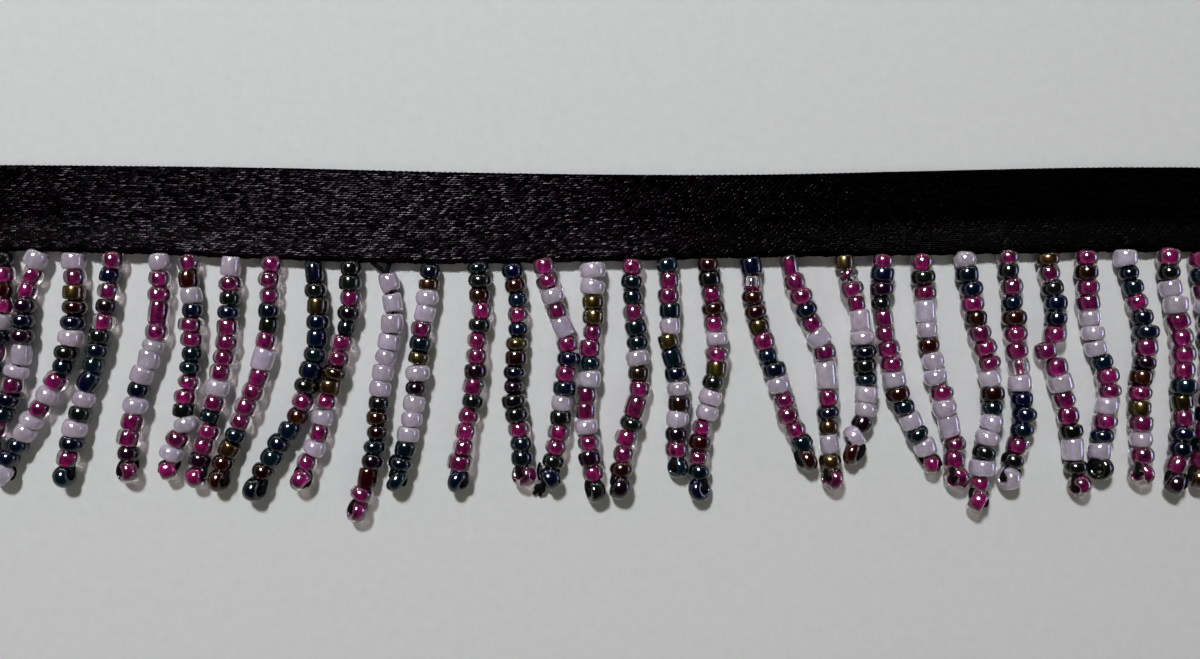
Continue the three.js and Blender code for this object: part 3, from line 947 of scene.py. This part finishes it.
def tube(line, radius, sides):
    """A closed tube along a line: its points, its faces and its ply coordinates."""
    ahead = np.gradient(line, axis=0)
    ahead /= np.linalg.norm(ahead, axis=1)[:, None] + 1e-12
    side = np.cross(ahead, [0, 0, 1.0])
    weak = np.linalg.norm(side, axis=1) < 1e-3
    side[weak] = [1, 0, 0]
    side /= np.linalg.norm(side, axis=1)[:, None]
    up = np.cross(side, ahead)
    turn = np.linspace(0, 2 * math.pi, sides, endpoint=False)
    ring = np.cos(turn)[None, :, None] * side[:, None] + np.sin(turn)[None, :, None] * up[:, None]
    points = (line[:, None] + radius * ring).reshape(-1, 3)
    far = np.concatenate([[0], np.cumsum(np.linalg.norm(np.diff(line, axis=0), axis=1))])
    ply = np.stack([np.repeat(far * PLY_RATE, sides), np.tile(turn, len(line)),
                    np.zeros(len(points))], 1)
    n = len(line)
    i, j = np.meshgrid(np.arange(n - 1), np.arange(sides), indexing="ij")
    a = i * sides + j
    b = i * sides + (j + 1) % sides
    quads = np.stack([a, a + sides, b + sides, b], -1).reshape(-1, 4).tolist()
    for start, order in ((0, 1), ((n - 1) * sides, -1)):
        loop = [start + k for k in range(sides)]
        for k in range(sides // 2 - 1):
            cap = [loop[k], loop[k + 1], loop[sides - 2 - k], loop[sides - 1 - k]]
            quads.append(cap[::order])
    return points, quads, ply


def root_lines(strand, first):
    """The two ends of a strand's thread from under the ribbon's edge to its first bead."""
    edge = float(along_ribbon("fringed", strand["root"]))
    under = float(ribbon_height(np.array(strand["root"]), np.array(FOOT_RISE)))
    axis = bead_axes(first)[0]
    centre = np.array([*first["place"], first["lift"]])
    entry = centre - axis * first["length"] * FIRST_ENTRY
    feet = LOOSE_FEET if strand["drop"] > LOOSE_DROP else STITCH_FEET
    for foot in feet:
        x = strand["root"] + foot
        start = x + (x - entry[0]) * FOOT_SPLAY
        yield [[start, edge + FOOT_DEPTH, under - THREAD_RADIUS * FOOT_CLOSENESS],
               [x, edge, under - THREAD_RADIUS], entry, centre]


def turn_line(before, turn):
    """The loop from the last bead but one round the turn bead and through its hole."""
    axis = bead_axes(turn)[0]
    way = np.array([math.cos(before["route_heading"]), math.sin(before["route_heading"]), 0])
    leave = np.array([*before["place"], before["radius"]]) + way * before["length"] * LOOP_LEAVE
    middle = np.array([*turn["place"], turn["lift"]])
    loop = [leave]
    for side in (1, -1):
        mouth = middle + side * axis * (turn["length"] / 2 + TURN_THREAD_RADIUS * LOOP_PROUD)
        shoulder = (middle + side * axis * turn["length"] * LOOP_SHOULDER["along"]
                    - way * turn["radius"] * LOOP_SHOULDER["back"])
        loop += [shoulder, mouth, middle] if side > 0 else [mouth, shoulder]
    return loop + [leave]


def strand_lines(number, strand, beads):
    """The lines of one strand's thread, each with its radius: out from under the ribbon's edge,
    down through the beads and round the turn bead."""
    mine = [bead for bead in beads if bead["strand"] == number]
    thickness = LOOSE_THREAD_RADIUS if strand["drop"] > LOOSE_DROP else THREAD_RADIUS
    lines = [(line, thickness) for line in root_lines(strand, mine[0])]
    lines.append(([[*bead["place"], bead["radius"]] for bead in mine[:-1]], THREAD_RADIUS))
    lines.append((turn_line(mine[-2], mine[-1]), TURN_THREAD_RADIUS))
    return lines


def add_thread(beads):
    """The doubled thread of every strand, and the knot and cut ends."""
    lines = []
    for number, strand in enumerate(STRANDS):
        lines += strand_lines(number, strand, beads)
    lines += [(tail["points"], tail["radius"]) for tail in TAILS]
    points, quads, plies, start = [], [], [], 0
    for line, radius in lines:
        spots, faces, ply = tube(smooth_line(line), radius, THREAD_SIDES)
        points.append(spots)
        plies.append(ply)
        quads += (np.array(faces) + start).tolist()
        start += len(spots)
    thread = make_mesh("thread", np.concatenate(points), quads,
                       [("ply", "FLOAT_VECTOR", np.concatenate(plies))])
    thread.data.materials.append(thread_material())
    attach(thread, "root")
    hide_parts("fringe")


bpy.context.scene.view_settings.view_transform = "Standard"
add_camera()
add_world()
add_lights()
add_floor()
beads = place_beads()
ribbon = add_ribbon()
add_beads(beads)
add_thread(beads)
